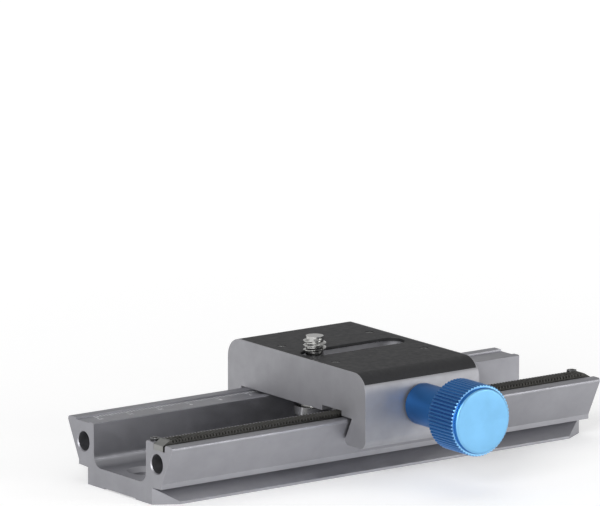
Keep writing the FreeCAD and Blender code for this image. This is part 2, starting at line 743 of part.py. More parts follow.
def mat_hole_places(radius):
    """The mat screws' holes, seen from above."""
    x = half_carriage - s.mat_screw_inset
    y = s.mat_screw_spacing / 2
    places = [(end * x, side * y) for end in ENDS.values() for side in SIDES.values()]
    return [(*place, radius + s.fit_gap) for place in places]


def make_carriage_block():
    body = new_body("carriage_block", x=s.carriage_offset)
    layer(body, "YZ", -half_carriage, half_carriage, [carriage_profile()])
    mat_end = half_carriage - s.mat_inset
    layer(body, "YZ", -mat_end, mat_end, [mat_profile()], cut=True)
    near_end = s.near_glide_length / 2
    layer(body, "YZ", -near_end, near_end, [side_glide_profile(-1, -s.flank_gap)], cut=True)
    half_far = s.far_glide_length / 2
    for end in ENDS.values():
        middle = end * s.far_glide_spacing / 2
        groove = side_glide_profile(1, -s.flank_gap)
        layer(body, "YZ", middle - half_far, middle + half_far, [groove], cut=True)
    top_grooves = [top_glide_profile(name, 0) for name in SIDES]
    layer(body, "YZ", -near_end, near_end, top_grooves, cut=True)

    above = carriage_top + CUT_MARGIN
    slot = stadium(slot_half_travel, s.slot_radius)
    track = stadium(slot_half_travel, s.clip_track_radius)
    layer(body, "XY", underside - CUT_MARGIN, above, [slot], cut=True)
    layer(body, "XY", mat_floor - s.clip_track_depth, above, [track], cut=True)
    mat_holes = mat_hole_places(s.mat_screw_radius)
    layer(body, "XY", mat_floor - s.mat_screw_depth - s.fit_gap, above, mat_holes, cut=True)
    pin_radius = s.stop_pin_radius + s.fit_gap
    pin_holes = [(end * stop_pin_x, inner_lip_middle, pin_radius) for end in ENDS.values()]
    pin_top = rack_pocket_top + s.stop_pin_depth
    layer(body, "XY", underside - CUT_MARGIN, pin_top, pin_holes, cut=True)

    bore = (s.drive_offset, shaft_height, s.bush_radius + s.fit_gap)
    bore_end = shaft_inner + s.shaft_end_gap
    layer(body, "XZ", -half_carriage_width - CUT_MARGIN, bore_end, [bore], cut=True)
    room = pinion_tip + s.pinion_room
    cavity_low = underside - CUT_MARGIN
    cavity_high = shaft_height + room
    cavity = rectangle(s.drive_offset - room, s.drive_offset + room, cavity_low, cavity_high)
    layer(body, "XZ", cavity_outer, cavity_inner, [cavity], cut=True)

    outside = half_carriage_width + CUT_MARGIN
    lock_bore = (0, lock_height, s.lock_bore_radius)
    layer(body, "XZ", half_channel, outside, [lock_bore], cut=True)
    half_spacing = s.far_glide_spacing / 2
    hole_radius = s.set_screw_radius + s.fit_gap
    screw_holes = [(end * half_spacing, glide_middle, hole_radius) for end in ENDS.values()]
    hole_start = flank(glide_low) + s.glide_gap
    layer(body, "XZ", hole_start, outside, screw_holes, cut=True)


def make_camera_mat():
    body = new_body("camera_mat", x=s.carriage_offset)
    mat_end = half_carriage - s.mat_inset
    layer(body, "YZ", -mat_end, mat_end, [mat_profile()])
    above = carriage_top + CUT_MARGIN
    slot = stadium(slot_half_travel, s.mat_slot_radius)
    holes = mat_hole_places(s.mat_screw_radius)
    layer(body, "XY", mat_floor - CUT_MARGIN, above, [slot] + holes, cut=True)
    top = carriage_top - s.mat_screw_sink
    seat = top - s.mat_screw_head_height
    layer(body, "XY", seat, above, mat_hole_places(s.mat_screw_head_radius), cut=True)

    shank = (s.mat_screw_radius, mat_floor - s.mat_screw_depth)
    head = (s.mat_screw_head_radius, seat, top)
    socket = (s.mat_screw_socket, s.mat_screw_head_height / 2)
    for end_name, end in ENDS.items():
        x = s.carriage_offset + end * (half_carriage - s.mat_screw_inset)
        for side_name, side in SIDES.items():
            place = {"x": x, "y": side * s.mat_screw_spacing / 2}
            label = f"mat_screw_{side_name}_{end_name}"
            make_socket_screw(label, place, shank, head, socket)


def make_glides():
    near_end = s.near_glide_length / 2
    body = new_body("near_glide_strip", x=s.carriage_offset)
    layer(body, "YZ", -near_end, near_end, [side_glide_profile(-1, s.glide_gap)])
    for name in SIDES:
        body = new_body(f"top_glide_strip_{name}", x=s.carriage_offset)
        layer(body, "YZ", -near_end, near_end, [top_glide_profile(name, s.glide_gap)])

    half_far = s.far_glide_length / 2
    tip = flank(glide_high) + s.glide_gap + s.glide_thickness + s.fit_gap
    back = tip + s.set_screw_length
    for name, end in ENDS.items():
        x = s.carriage_offset + end * s.far_glide_spacing / 2
        body = new_body(f"far_glide_strip_{name}", x=x)
        layer(body, "YZ", -half_far, half_far, [side_glide_profile(1, s.glide_gap)])
        body = new_body(f"glide_set_screw_{name}", x=x, z=glide_middle)
        layer(body, "XZ", tip, back, [(0, 0, s.set_screw_radius)])
        socket = [hexagon(s.set_screw_socket)]
        layer(body, "XZ", back - s.set_screw_socket_depth, back, socket, cut=True)
        pin_x = s.carriage_offset + end * stop_pin_x
        body = new_body(f"carriage_stop_pin_{name}", x=pin_x, y=inner_lip_middle)
        pin_top = rack_pocket_top + s.stop_pin_depth
        layer(body, "XY", underside, pin_top, [(0, 0, s.stop_pin_radius)])


def make_shaft_parts():
    """The pieces that turn around the drive's axis, along Y."""
    place = {"x": drive_x, "z": shaft_height}
    bush_bore = s.shaft_radius + s.running_gap
    bush_face = s.outer_bush_recess - half_carriage_width
    body = new_body("outer_shaft_bush", **place)
    turned(body, "XY", ring(bush_bore, s.bush_radius, bush_face, cavity_outer))
    body = new_body("inner_shaft_bush", **place)
    turned(body, "XY", ring(bush_bore, s.bush_radius, -pocket_inner, inner_bush_end))

    hole_radius = s.knob_screw_radius + s.fit_gap
    hole_end = shaft_outer + s.knob_screw_length + s.fit_gap
    body = new_body("pinion_shaft", **place)
    profile = [
        (0, hole_end),
        (hole_radius, hole_end),
        (hole_radius, shaft_outer),
        (s.shaft_radius, shaft_outer),
        (s.shaft_radius, shaft_inner),
        (0, shaft_inner),
    ]
    turned(body, "XY", profile)

    bore = s.shaft_radius + s.fit_gap
    body = new_body("thrust_washer", **place)
    washer_inner = thrust_outer + s.thrust_washer_thickness
    turned(body, "XY", ring(bore, s.thrust_washer_radius, thrust_outer, washer_inner))
    body = new_body("sleeve_washer", **place)
    washer_inner = sleeve_washer_end + s.sleeve_washer_thickness
    turned(body, "XY", ring(bore, s.sleeve_washer_radius, sleeve_washer_end, washer_inner))

    edge = s.sleeve_break
    body = new_body("knob_sleeve", **place)
    profile = [
        (bore, knob_back),
        (s.sleeve_radius, knob_back),
        (s.sleeve_radius, sleeve_start - edge),
        (s.sleeve_radius - edge, sleeve_start),
        (bore, sleeve_start),
    ]
    turned(body, "XY", profile)


def make_pinion():
    """Involute spur pinion, its flanks as arcs through three points of the involute."""
    teeth = round(number(s.pinion_teeth))
    radius = number(pitch_radius)
    module = number(tooth_module)
    angle = math.radians(number(s.pressure_angle))
    base = radius * math.cos(angle)
    tip = number(pinion_tip)
    root = radius - number(tooth_root)
    half_tooth = (math.pi * module / 2 - number(s.tooth_play)) / (2 * radius)
    half_tooth += math.tan(angle) - angle

    def involute(at_radius, turn):
        """A point of the flank, turned from the tooth's middle to one side."""
        pressure = math.acos(min(base / at_radius, 1))
        offset = half_tooth - (math.tan(pressure) - pressure)
        direction = turn[0] + turn[1] * offset
        return FreeCAD.Vector(at_radius * math.sin(direction), 0, -at_radius * math.cos(direction))

    edges = []
    step = 2 * math.pi / teeth
    foot = max(base, root)
    middle = (foot + tip) / 2
    for tooth in range(teeth):
        left = (tooth * step, -1)
        right = (tooth * step, 1)
        rise = [involute(at, left) for at in (foot, middle, tip)]
        fall = [involute(at, right) for at in (tip, middle, foot)]
        tip_middle = FreeCAD.Vector(tip * math.sin(left[0]), 0, -tip * math.cos(left[0]))
        next_foot = involute(foot, (left[0] + step, -1))
        fall_root = FreeCAD.Vector(fall[2]).normalize() * root
        next_root = FreeCAD.Vector(next_foot).normalize() * root
        root_middle = FreeCAD.Vector((fall_root + next_root) / 2).normalize() * root
        edges.append(Part.Arc(*rise).toShape())
        edges.append(Part.Arc(rise[2], tip_middle, fall[0]).toShape())
        edges.append(Part.Arc(*fall).toShape())
        if foot > root:
            edges.append(Part.LineSegment(fall[2], fall_root).toShape())
        edges.append(Part.Arc(fall_root, root_middle, next_root).toShape())
        if foot > root:
            edges.append(Part.LineSegment(next_root, next_foot).toShape())
    face = Part.Face(Part.Wire(edges))
    gear = face.extrude(FreeCAD.Vector(0, number(s.pinion_width), 0))
    along = FreeCAD.Vector(0, 1, 0)
    behind = FreeCAD.Vector(0, -CUT_MARGIN, 0)
    bore_radius = number(s.shaft_radius) + number(s.fit_gap)
    bore_length = number(s.pinion_width) + 2 * CUT_MARGIN
    gear = gear.cut(Part.makeCylinder(bore_radius, bore_length, behind, along))
    rolled = math.degrees(number(drive_x) / radius)
    position = FreeCAD.Vector(number(drive_x), number(pinion_outer), number(shaft_height))
    turn = FreeCAD.Rotation(along, rolled)
    new_feature("drive_pinion", gear, FreeCAD.Placement(position, turn))


def knurled_disc(radius, depth, count, width, edge):
    """A disc along +Z with straight grooves around it and chamfered rims."""
    step = 2 * math.pi / count
    land = step * KNURL_LAND_SHARE / 2
    points = []
    for groove in range(count):
        middle = groove * step
        stops = ((-land, radius), (land, radius), (step / 2, radius - depth))
        for turn, reach in stops:
            direction = middle + turn
            points.append(
                FreeCAD.Vector(reach * math.cos(direction), reach * math.sin(direction), 0)
            )
    wire = Part.makePolygon(points + points[:1])
    prism = Part.Face(wire).extrude(FreeCAD.Vector(0, 0, width))
    outline = [
        (0, 0),
        (radius - edge, 0),
        (radius, edge),
        (radius, width - edge),
        (radius - edge, width),
        (0, width),
    ]
    corners = [FreeCAD.Vector(x, 0, z) for x, z in outline]
    half = Part.Face(Part.makePolygon(corners + corners[:1]))
    envelope = half.revolve(FreeCAD.Vector(0, 0, 0), FreeCAD.Vector(0, 0, 1), 360)
    return prism.common(envelope)


def make_focus_knob():
    width = number(s.knob_width)
    disc = knurled_disc(
        number(s.knob_radius),
        number(s.knurl_depth),
        round(number(s.knurl_count)),
        width,
        number(s.knob_break),
    )
    seat_depth = number(knob_screw_seat) - number(knob_front)
    below = FreeCAD.Vector(0, 0, -CUT_MARGIN)
    spigot = number(s.cap_spigot_length)
    gap = number(s.fit_gap)
    holes = [
        Part.makeCylinder(number(s.shaft_radius) + gap, width + 2 * CUT_MARGIN, below),
        Part.makeCylinder(
            number(s.knob_screw_head_radius) + number(s.head_room),
            seat_depth + CUT_MARGIN,
            below,
        ),
        Part.makeCylinder(number(s.cap_spigot_radius) + gap, spigot + CUT_MARGIN, below),
    ]
    for hole in holes:
        disc = disc.cut(hole)
    position = FreeCAD.Vector(number(drive_x), number(knob_front), number(shaft_height))
    turn = FreeCAD.Rotation(FreeCAD.Vector(1, 0, 0), -90)
    new_feature("focus_knob", disc, FreeCAD.Placement(position, turn))


def make_knob_face():
    place = {"x": drive_x, "z": shaft_height}
    face = knob_front - s.cap_height
    flat = s.cap_radius - s.cap_round
    dish_radius = (flat * flat + s.cap_dish * s.cap_dish) / (2 * s.cap_dish)
    body = new_body("knob_cap", **place)
    profile = [
        (0, cap_seat),
        (0, face + s.cap_dish, dish_radius),
        (flat, face, s.cap_round),
        (s.cap_radius, face + s.cap_round),
        (s.cap_radius, knob_front),
        (s.cap_spigot_radius, knob_front),
        (s.cap_spigot_radius, cap_seat),
    ]
    turned(body, "XY", profile)

    head_face = knob_screw_seat - s.knob_screw_head_height
    body = new_body("knob_screw", **place)
    profile = [
        (0, head_face),
        (s.knob_screw_head_radius, head_face),
        (s.knob_screw_head_radius, knob_screw_seat),
        (s.knob_screw_radius, knob_screw_seat),
        (s.knob_screw_radius, shaft_outer + s.knob_screw_length),
        (0, shaft_outer + s.knob_screw_length),
    ]
    turned(body, "XY", profile)
    socket = [hexagon(s.knob_screw_socket)]
    layer(body, "XZ", head_face, head_face + s.knob_screw_socket_depth, socket, cut=True)


def make_camera_screw():
    washer_top = underside - s.slot_washer_gap
    washer_low = washer_top - s.slot_washer_thickness
    collar_top = washer_low - s.slot_washer_gap
    head_top = collar_top - s.camera_collar_height
    head_low = head_top - s.camera_head_height
    tip = carriage_top + s.camera_thread_reach
    thread_low = carriage_top - s.camera_thread_start
    edge = s.camera_head_break
    tip_edge = s.camera_thread_break
    body = new_body("camera_screw", x=camera_screw_x)
    profile = [
        (0, head_low),
        (s.camera_head_radius - edge, head_low),
        (s.camera_head_radius, head_low + edge),
        (s.camera_head_radius, head_top),
        (s.camera_collar_radius, head_top),
        (s.camera_collar_radius, collar_top),
        (s.camera_shank_radius, collar_top),
        (s.camera_shank_radius, thread_low),
        (s.camera_thread_radius, thread_low),
        (s.camera_thread_radius, tip - tip_edge),
        (s.camera_thread_radius - tip_edge, tip),
        (0, tip),
    ]
    turned(body, "XZ", profile)
    socket = [hexagon(s.camera_socket_radius)]
    layer(body, "XY", head_low, head_low + s.camera_socket_depth, socket, cut=True)

    body = new_body("slot_washer", x=camera_screw_x)
    bore = s.camera_shank_radius + s.running_gap
    turned(body, "XZ", ring(bore, s.slot_washer_radius, washer_low, washer_top))

    body = new_body("screw_clip", x=camera_screw_x)
    clip_low = mat_floor - s.clip_track_depth + s.clip_lift
    clip_high = clip_low + s.clip_thickness
    clip_bore = s.camera_shank_radius + s.fit_gap
    turned(body, "XZ", ring(clip_bore, s.clip_radius, clip_low, clip_high))
    half_opening = s.clip_opening / 2
    opening = rectangle(0, s.clip_radius + CUT_MARGIN, -half_opening, half_opening)
    layer(body, "XY", clip_low - CUT_MARGIN, clip_high + CUT_MARGIN, [opening], cut=True)


def make_lock():
    place = {"x": s.carriage_offset, "z": lock_height}
    screw_radius = s.lock_bore_radius - s.running_gap
    shoe_radius = s.lock_bore_radius - s.lock_shoe_play
    body = new_body("lock_shoe", **place)
    layer(body, "XZ", half_channel, lock_shoe_back, [(0, 0, shoe_radius)])
    reach = shoe_radius + CUT_MARGIN
    low_face = flank(lock_height - reach) + s.lock_shoe_gap
    high_face = flank(lock_height + reach) + s.lock_shoe_gap
    inside = half_channel - CUT_MARGIN
    slant = [(inside, -reach), (low_face, -reach), (high_face, reach), (inside, reach)]
    layer(body, "YZ", -reach, reach, [slant], cut=True)

    screw_end = lock_knob_start + s.lock_screw_depth
    body = new_body("lock_screw", **place)
    profile = [(0, lock_screw_start), (screw_radius, lock_screw_start)]
    profile += [(screw_radius, screw_end), (0, screw_end)]
    turned(body, "XY", profile)

    disc = knurled_disc(
        number(s.lock_knob_radius),
        number(s.lock_knurl_depth),
        round(number(s.lock_knurl_count)),
        number(s.lock_knob_width),
        number(s.lock_knob_break),
    )
    boss_length = number(s.lock_boss_length)
    below = FreeCAD.Vector(0, 0, -boss_length)
    boss = Part.makeCylinder(number(s.lock_boss_radius), boss_length, below)
    bore_radius = number(screw_radius) + number(s.fit_gap)
    bore_length = boss_length + number(s.lock_screw_depth) + number(s.fit_gap)
    disc = disc.fuse(boss).cut(Part.makeCylinder(bore_radius, bore_length, below))
    start = number(lock_knob_start)
    position = FreeCAD.Vector(number(s.carriage_offset), start, number(lock_height))
    turn = FreeCAD.Rotation(FreeCAD.Vector(1, 0, 0), -90)
    new_feature("lock_knob", disc, FreeCAD.Placement(position, turn))


def check_document():
    """Stops if an object failed, a cut removed nothing or a sub-part has no sound shape."""
    for item in doc.Objects:
        if "Invalid" in item.State or "Error" in item.State:
            raise RuntimeError(f"{item.Label} failed: {item.State}")
        if item.TypeId == "PartDesign::Pocket":
            removed = item.BaseFeature.Shape.Volume - item.Shape.Volume
            if removed < SMALLEST_CUT:
                raise RuntimeError(f"{item.Label} removed nothing")
    for item in sub_parts:
        if item.Shape.isNull() or not item.Shape.isValid():
            raise RuntimeError(f"{item.Label} has no sound shape")


def write_sub_parts():
    os.makedirs("parts", exist_ok=True)
    for item in sub_parts:
        item.Shape.exportStep(f"parts/{item.Label}.step")
        box = item.Shape.BoundBox
        corners = f"X {box.XMin:.2f} {box.XMax:.2f} Y {box.YMin:.2f} {box.YMax:.2f}"
        solids = len(item.Shape.Solids)
        print(f"{item.Label}: {solids} solid(s), {corners} Z {box.ZMin:.2f} {box.ZMax:.2f}")


make_rail_extrusion()
make_gear_rack()
make_rail_screws()
make_carriage_block()
make_camera_mat()
make_glides()
make_shaft_parts()
make_pinion()
make_focus_knob()
make_knob_face()
make_camera_screw()
make_lock()
doc.recompute()
check_document()
write_sub_parts()
stop_face = half_length - s.stop_screw_inset - s.stop_head_radius
travel = number(stop_face - stop_pin_x - s.stop_pin_radius)
print(f"carriage travel to the stops, each way from the middle: {travel:.3f}")
print(f"knob turn per millimetre of travel: {1 / number(pitch_radius):.6f} rad")
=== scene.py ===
"""Macro focusing rail: finishes, fine edges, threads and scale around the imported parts.
Metres, X along the rail, Z up, the drive knob on the -Y side."""

import json
import math

import bmesh
import bpy
from mathutils import Matrix, Vector


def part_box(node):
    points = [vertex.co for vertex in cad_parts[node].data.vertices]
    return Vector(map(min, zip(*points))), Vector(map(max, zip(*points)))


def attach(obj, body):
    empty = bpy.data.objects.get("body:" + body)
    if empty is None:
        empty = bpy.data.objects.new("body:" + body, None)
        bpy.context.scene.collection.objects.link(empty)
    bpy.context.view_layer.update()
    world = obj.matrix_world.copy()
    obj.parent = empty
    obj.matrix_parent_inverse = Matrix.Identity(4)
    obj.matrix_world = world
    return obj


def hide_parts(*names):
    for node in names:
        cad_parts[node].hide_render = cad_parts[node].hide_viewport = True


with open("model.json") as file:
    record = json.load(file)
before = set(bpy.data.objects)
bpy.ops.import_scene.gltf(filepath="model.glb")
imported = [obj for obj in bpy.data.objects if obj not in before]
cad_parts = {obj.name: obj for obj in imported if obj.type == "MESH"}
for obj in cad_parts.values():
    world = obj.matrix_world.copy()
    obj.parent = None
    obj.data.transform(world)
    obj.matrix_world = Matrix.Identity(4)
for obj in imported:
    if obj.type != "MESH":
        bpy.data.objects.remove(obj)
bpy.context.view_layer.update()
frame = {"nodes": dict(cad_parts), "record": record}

MM = 0.001
WHITE = (1, 1, 1, 1)


# Camera: where the photograph was taken from, with the picture's centre on the line of sight
CAMERA_PLACE = Vector((-1354.0, -1820.5, 529.0)) * MM
CAMERA_TURN = math.radians(36.385)
CAMERA_DROP = math.radians(11.739)
CAMERA_ROLL = math.radians(0.041)
CAMERA_LENS = 508.9
SENSOR_WIDTH = 36


def rgb(red, green, blue):
    """A colour given in the display's 0 to 255, as linear light."""
    shares = [value / 255 for value in (red, green, blue)]
    linear = [s / 12.92 if s <= 0.04045 else ((s + 0.055) / 1.055) ** 2.4 for s in shares]
    return (*linear, 1)


# Finishes

class Finish:
    """A material's nodes, with short calls for the ones that the finishes share."""

    def __init__(self, name, colour, metallic=0.0, roughness=0.4, **sockets):
        self.material = bpy.data.materials.new(name)
        self.material.use_nodes = True
        self.tree = self.material.node_tree
        self.shader = self.tree.nodes["Principled BSDF"]
        self.colour = colour
        self.set(self.shader, {"Base Color": colour, "Metallic": metallic, "Roughness": roughness})
        self.set(self.shader, sockets)
        self.place = self.node("ShaderNodeTexCoord").outputs["Object"]
        self.normal = None

    def set(self, node, values):
        for socket, value in values.items():
            node.inputs[socket].default_value = value

    def node(self, kind, settings=None, values=None, links=None):
        made = self.tree.nodes.new(kind)
        for name, value in (settings or {}).items():
            setattr(made, name, value)
        self.set(made, values or {})
        for socket, source in (links or {}).items():
            self.tree.links.new(source, made.inputs[socket])
        return made

    def math(self, operation, source, value=None):
        made = self.node("ShaderNodeMath", {"operation": operation}, None, {0: source})
        if value is not None:
            made.inputs[1].default_value = value
        return made

    def vector_math(self, operation, source, value=None):
        made = self.node("ShaderNodeVectorMath", {"operation": operation}, None, {0: source})
        if value is not None:
            made.inputs[1].default_value = value
        return made

    def link(self, source, socket):
        self.tree.links.new(source, self.shader.inputs[socket])

    def noise(self, size, stretch=(1, 1, 1), detail=2.0, roughness=0.5):
        """Noise with features of that size in metres, drawn out along the axes by stretch."""
        scale = tuple(1 / factor for factor in stretch)
        mapped = self.node("ShaderNodeMapping", None, {"Scale": scale}, {"Vector": self.place})
        values = {"Scale": 1 / size, "Detail": detail, "Roughness": roughness}
        noise = self.node("ShaderNodeTexNoise", None, values, {"Vector": mapped.outputs[0]})
        return noise.outputs["Fac"]

    def ranged(self, source, low, high, start=0.3, end=0.7):
        values = {"From Min": start, "From Max": end, "To Min": low, "To Max": high}
        return self.node("ShaderNodeMapRange", None, values, {"Value": source}).outputs["Result"]

    def tint(self, source, low, high):
        """Scales the base colour between two factors by a source."""
        factor = self.ranged(source, low, high)
        colour = self.node("ShaderNodeMix", {"data_type": "RGBA", "blend_type": "MULTIPLY"})
        colour.inputs["Factor"].default_value = 1
        colour.inputs[6].default_value = self.colour
        self.tree.links.new(factor, colour.inputs[7])
        self.link(colour.outputs[2], "Base Color")

    def bump(self, source, depth, strength=1.0):
        """Adds a relief of that depth in metres over the ones before it."""
        links = {"Height": source}
        if self.normal is not None:
            links["Normal"] = self.normal
        values = {"Strength": strength, "Distance": depth}
        self.normal = self.node("ShaderNodeBump", None, values, links).outputs["Normal"]
        self.link(self.normal, "Normal")

    def roughen(self, source, low, high):
        self.link(self.ranged(source, low, high), "Roughness")


def anodised(name, colour, roughness, grain_size, streak=None, grain_depth=2e-6):
    """Blasted and anodised aluminium: fine grain, faint clouding, drawn lines along an axis."""
    finish = Finish(name, colour, metallic=1.0, roughness=roughness)
    finish.tint(finish.noise(9 * MM, detail=3), 0.94, 1.05)
    finish.roughen(finish.noise(2.5 * MM, detail=4), roughness - 0.04, roughness + 0.05)
    finish.bump(finish.noise(grain_size, detail=3), grain_depth, 0.6)
    if streak:
        finish.bump(finish.noise(0.35 * MM, streak, detail=4), 2.5e-6, 0.5)
    return finish.material


def turned(name, colour, roughness, axis_place, pitch, depth, anisotropic=0.0):
    """Metal turned on a lathe: concentric rings around an axis along Y through that place."""
    finish = Finish(name, colour, metallic=1.0, roughness=roughness, Anisotropic=anisotropic)
    centre = (-axis_place[0], 0, -axis_place[1])
    moved = finish.node("ShaderNodeMapping", None, {"Location": centre}, {"Vector": finish.place})
    flat = finish.vector_math("MULTIPLY", moved.outputs[0], (1, 0, 1))
    reach = finish.vector_math("LENGTH", flat.outputs[0])
    rings = finish.math("MULTIPLY", reach.outputs["Value"], 2 * math.pi / pitch)
    wave = finish.math("SINE", rings.outputs[0])
    finish.bump(wave.outputs[0], depth, 0.5)
    if anisotropic:
        tangent = finish.node("ShaderNodeTangent", {"direction_type": "RADIAL", "axis": "Y"})
        finish.link(tangent.outputs[0], "Tangent")
    finish.tint(finish.noise(5 * MM, detail=3), 0.95, 1.04)
    finish.bump(finish.noise(0.12 * MM, detail=3), 1.5e-6, 0.5)
    return finish.material


def moulded(name, colour, roughness, grain_size, depth, specular=0.5):
    """Plastic or rubber with a fine moulded grain."""
    finish = Finish(name, colour, roughness=roughness)
    finish.shader.inputs["Specular IOR Level"].default_value = specular
    finish.tint(finish.noise(4 * MM, detail=3), 0.9, 1.1)
    finish.bump(finish.noise(grain_size, detail=4), depth, 0.7)
    finish.roughen(finish.noise(1.5 * MM, detail=3), roughness - 0.06, roughness + 0.06)
    return finish.material


def oxidised(name, colour, roughness, rub=0.2):
    """Blackened or plain steel with slightly lighter rubbed patches."""
    finish = Finish(name, colour, metallic=1.0, roughness=roughness)
    finish.tint(finish.noise(1.2 * MM, detail=4), 1 - rub, 1 + rub)
    finish.roughen(finish.noise(0.6 * MM, detail=4), roughness - 0.06, roughness + 0.06)
    finish.bump(finish.noise(0.15 * MM, detail=3), 2e-6, 0.5)
    return finish.material


def middle(node):
    low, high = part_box(node)
    return (low + high) / 2


drive_axis = middle("knob_sleeve")
drive_place = (drive_axis.x, drive_axis.z)
DRAWN_ALONG_X = (60, 1, 1)

finishes = {
    "grey_anodised": anodised(
        "grey_anodised", rgb(158, 158, 163), 0.46, 0.16 * MM, streak=DRAWN_ALONG_X
    ),
    "grey_blasted": anodised("grey_blasted", rgb(172, 172, 176), 0.6, 0.14 * MM, grain_depth=3e-6),
    # Lighter grey on the broken edges of rail and carriage: a painted highlight along them.
    "grey_painted_edge_highlight": anodised("grey_painted_edge_highlight", rgb(205, 205, 208), 0.32, 0.2 * MM),
    "blue_anodised": turned(
        "blue_anodised", rgb(52, 112, 178), 0.4, drive_place, 0.18 * MM, 1.2e-6, anisotropic=0.3
    ),
    # Lighter blue on the broken edges of knob and sleeve: a painted highlight along the ridges.
    "blue_painted_edge_highlight": turned("blue_painted_edge_highlight", rgb(96, 148, 205), 0.3, drive_place, 0.2 * MM, 1e-6),
    # Lighter blue for the cap's outward face: painted light on the side of the knob that faces the
    # lamps.
    "blue_painted_lit_face": turned("blue_painted_lit_face", rgb(130, 189, 229), 0.48, drive_place, 0.16 * MM, 1.4e-6),
    # Lightest blue for the knob's outward faces and the cap's rounded edge: a painted highlight.
    "blue_painted_rim_highlight": turned("blue_painted_rim_highlight", rgb(150, 210, 250), 0.34, drive_place, 0.2 * MM, 1e-6),
    "black_anodised": anodised("black_anodised", rgb(38, 38, 40), 0.4, 0.15 * MM),
    "black_rubber": moulded("black_rubber", rgb(34, 34, 36), 0.6, 0.35 * MM, 1.2e-5, 0.4),
    "rack_steel": oxidised("rack_steel", rgb(88, 87, 84), 0.45, 0.12),
    "bare_steel": oxidised("bare_steel", rgb(150, 150, 148), 0.42, 0.08),
    "black_steel": oxidised("black_steel", rgb(62, 62, 64), 0.34),
    # Light steel on the broken edges of the dark screws and washer: a painted highlight on them.
    "steel_painted_edge_highlight": oxidised("steel_painted_edge_highlight", rgb(150, 150, 150), 0.3, 0.1),
    "bright_steel": anodised("bright_steel", rgb(188, 188, 186), 0.16, 0.12 * MM),
    "brass": anodised("brass", rgb(200, 165, 95), 0.28, 0.12 * MM),
    "black_plastic": moulded("black_plastic", rgb(30, 30, 30), 0.48, 0.2 * MM, 3e-6),
    "white_mark": moulded("white_mark", rgb(225, 226, 228), 0.55, 0.05 * MM, 1e-6),
}


# Pieces

def use(obj, *names):
    """Gives the object those finishes, in place of its own."""
    obj.data.materials.clear()
    for name in names:
        obj.data.materials.append(finishes[name])


def place_piece(obj, body, slot, *nodes):
    bpy.context.scene.collection.objects.link(obj)
    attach(obj, body)
    if nodes:
        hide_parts(*nodes)


slots = {part["node"]: part["material_slot"] for part in frame["record"]["subparts"]}
node_bodies = {
    node: body for body, nodes in frame["record"]["behaviour"]["bodies"].items() for node in nodes
}
for node, obj in frame["nodes"].items():
    use(obj, slots[node])


WELD_DISTANCE = 1e-7
FLAT_ANGLE = math.radians(0.5)
EDGE_ANGLE = math.radians(25)


def clean_mesh(work):
    """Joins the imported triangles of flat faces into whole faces."""
    bmesh.ops.remove_doubles(work, verts=work.verts, dist=WELD_DISTANCE)
    bmesh.ops.dissolve_limit(work, angle_limit=FLAT_ANGLE, verts=work.verts, edges=work.edges)


def fine_edges(node, width, edge, segments=2, main=None, reshape=None, accent=None, chosen=None):
    """Stands for a node with a copy whose sharp edges are broken and have their own finish, on
    most parts a lighter colour that is a painted highlight along the edges. The faces that the
    test picks get the accent finish, which on the drive knob is painted light."""
    main = main or slots[node]
    mesh = frame["nodes"][node].data.copy()
    mesh.name = f"{node}_finished"
    work = bmesh.new()
    work.from_mesh(mesh)
    clean_mesh(work)
    if reshape:
        reshape(work)
    work.to_mesh(mesh)
    work.free()
    obj = bpy.data.objects.new(f"{node}_finished", mesh)
    place_piece(obj, node_bodies[node], slots[node], node)
    use(obj, main, edge, accent or main)
    for polygon in mesh.polygons:
        polygon.material_index = 2 if chosen and chosen(polygon) else 0
        polygon.use_smooth = True
    mesh.set_sharp_from_angle(angle=EDGE_ANGLE)
    bevel = obj.modifiers.new("edges", "BEVEL")
    bevel.width = width
    bevel.segments = segments
    bevel.limit_method = "ANGLE"
    bevel.angle_limit = EDGE_ANGLE
    bevel.miter_outer = "MITER_ARC"
    bevel.use_clamp_overlap = True
    bevel.material = 1
    bevel.harden_normals = True


PAINTED_LIGHT_LIMIT = -0.6
RACK_END_LENGTH = 2.4 * MM
RACK_END_SLOPE = 0.3
rail_low, rail_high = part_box("rail_extrusion")


def faces_painted_lighter(polygon):
    """True on the drive's faces that look away from the carriage, which get a lighter blue as
    painted light.
    """
    return polygon.normal.y < PAINTED_LIGHT_LIMIT


def is_rack_end(polygon):
    """True on the bare end faces and bevels of the rack."""
    from_end = rail_high.x - abs(polygon.center.x)
    return from_end < RACK_END_LENGTH and abs(polygon.normal.x) > RACK_END_SLOPE


fine_edges("rail_extrusion", 0.16 * MM, "grey_painted_edge_highlight")
fine_edges("carriage_block", 0.2 * MM, "grey_painted_edge_highlight", main="grey_blasted")
fine_edges("camera_mat", 0.1 * MM, "black_rubber")
fine_edges(
    "gear_rack", 0.03 * MM, "rack_steel", segments=1, accent="bare_steel", chosen=is_rack_end
)
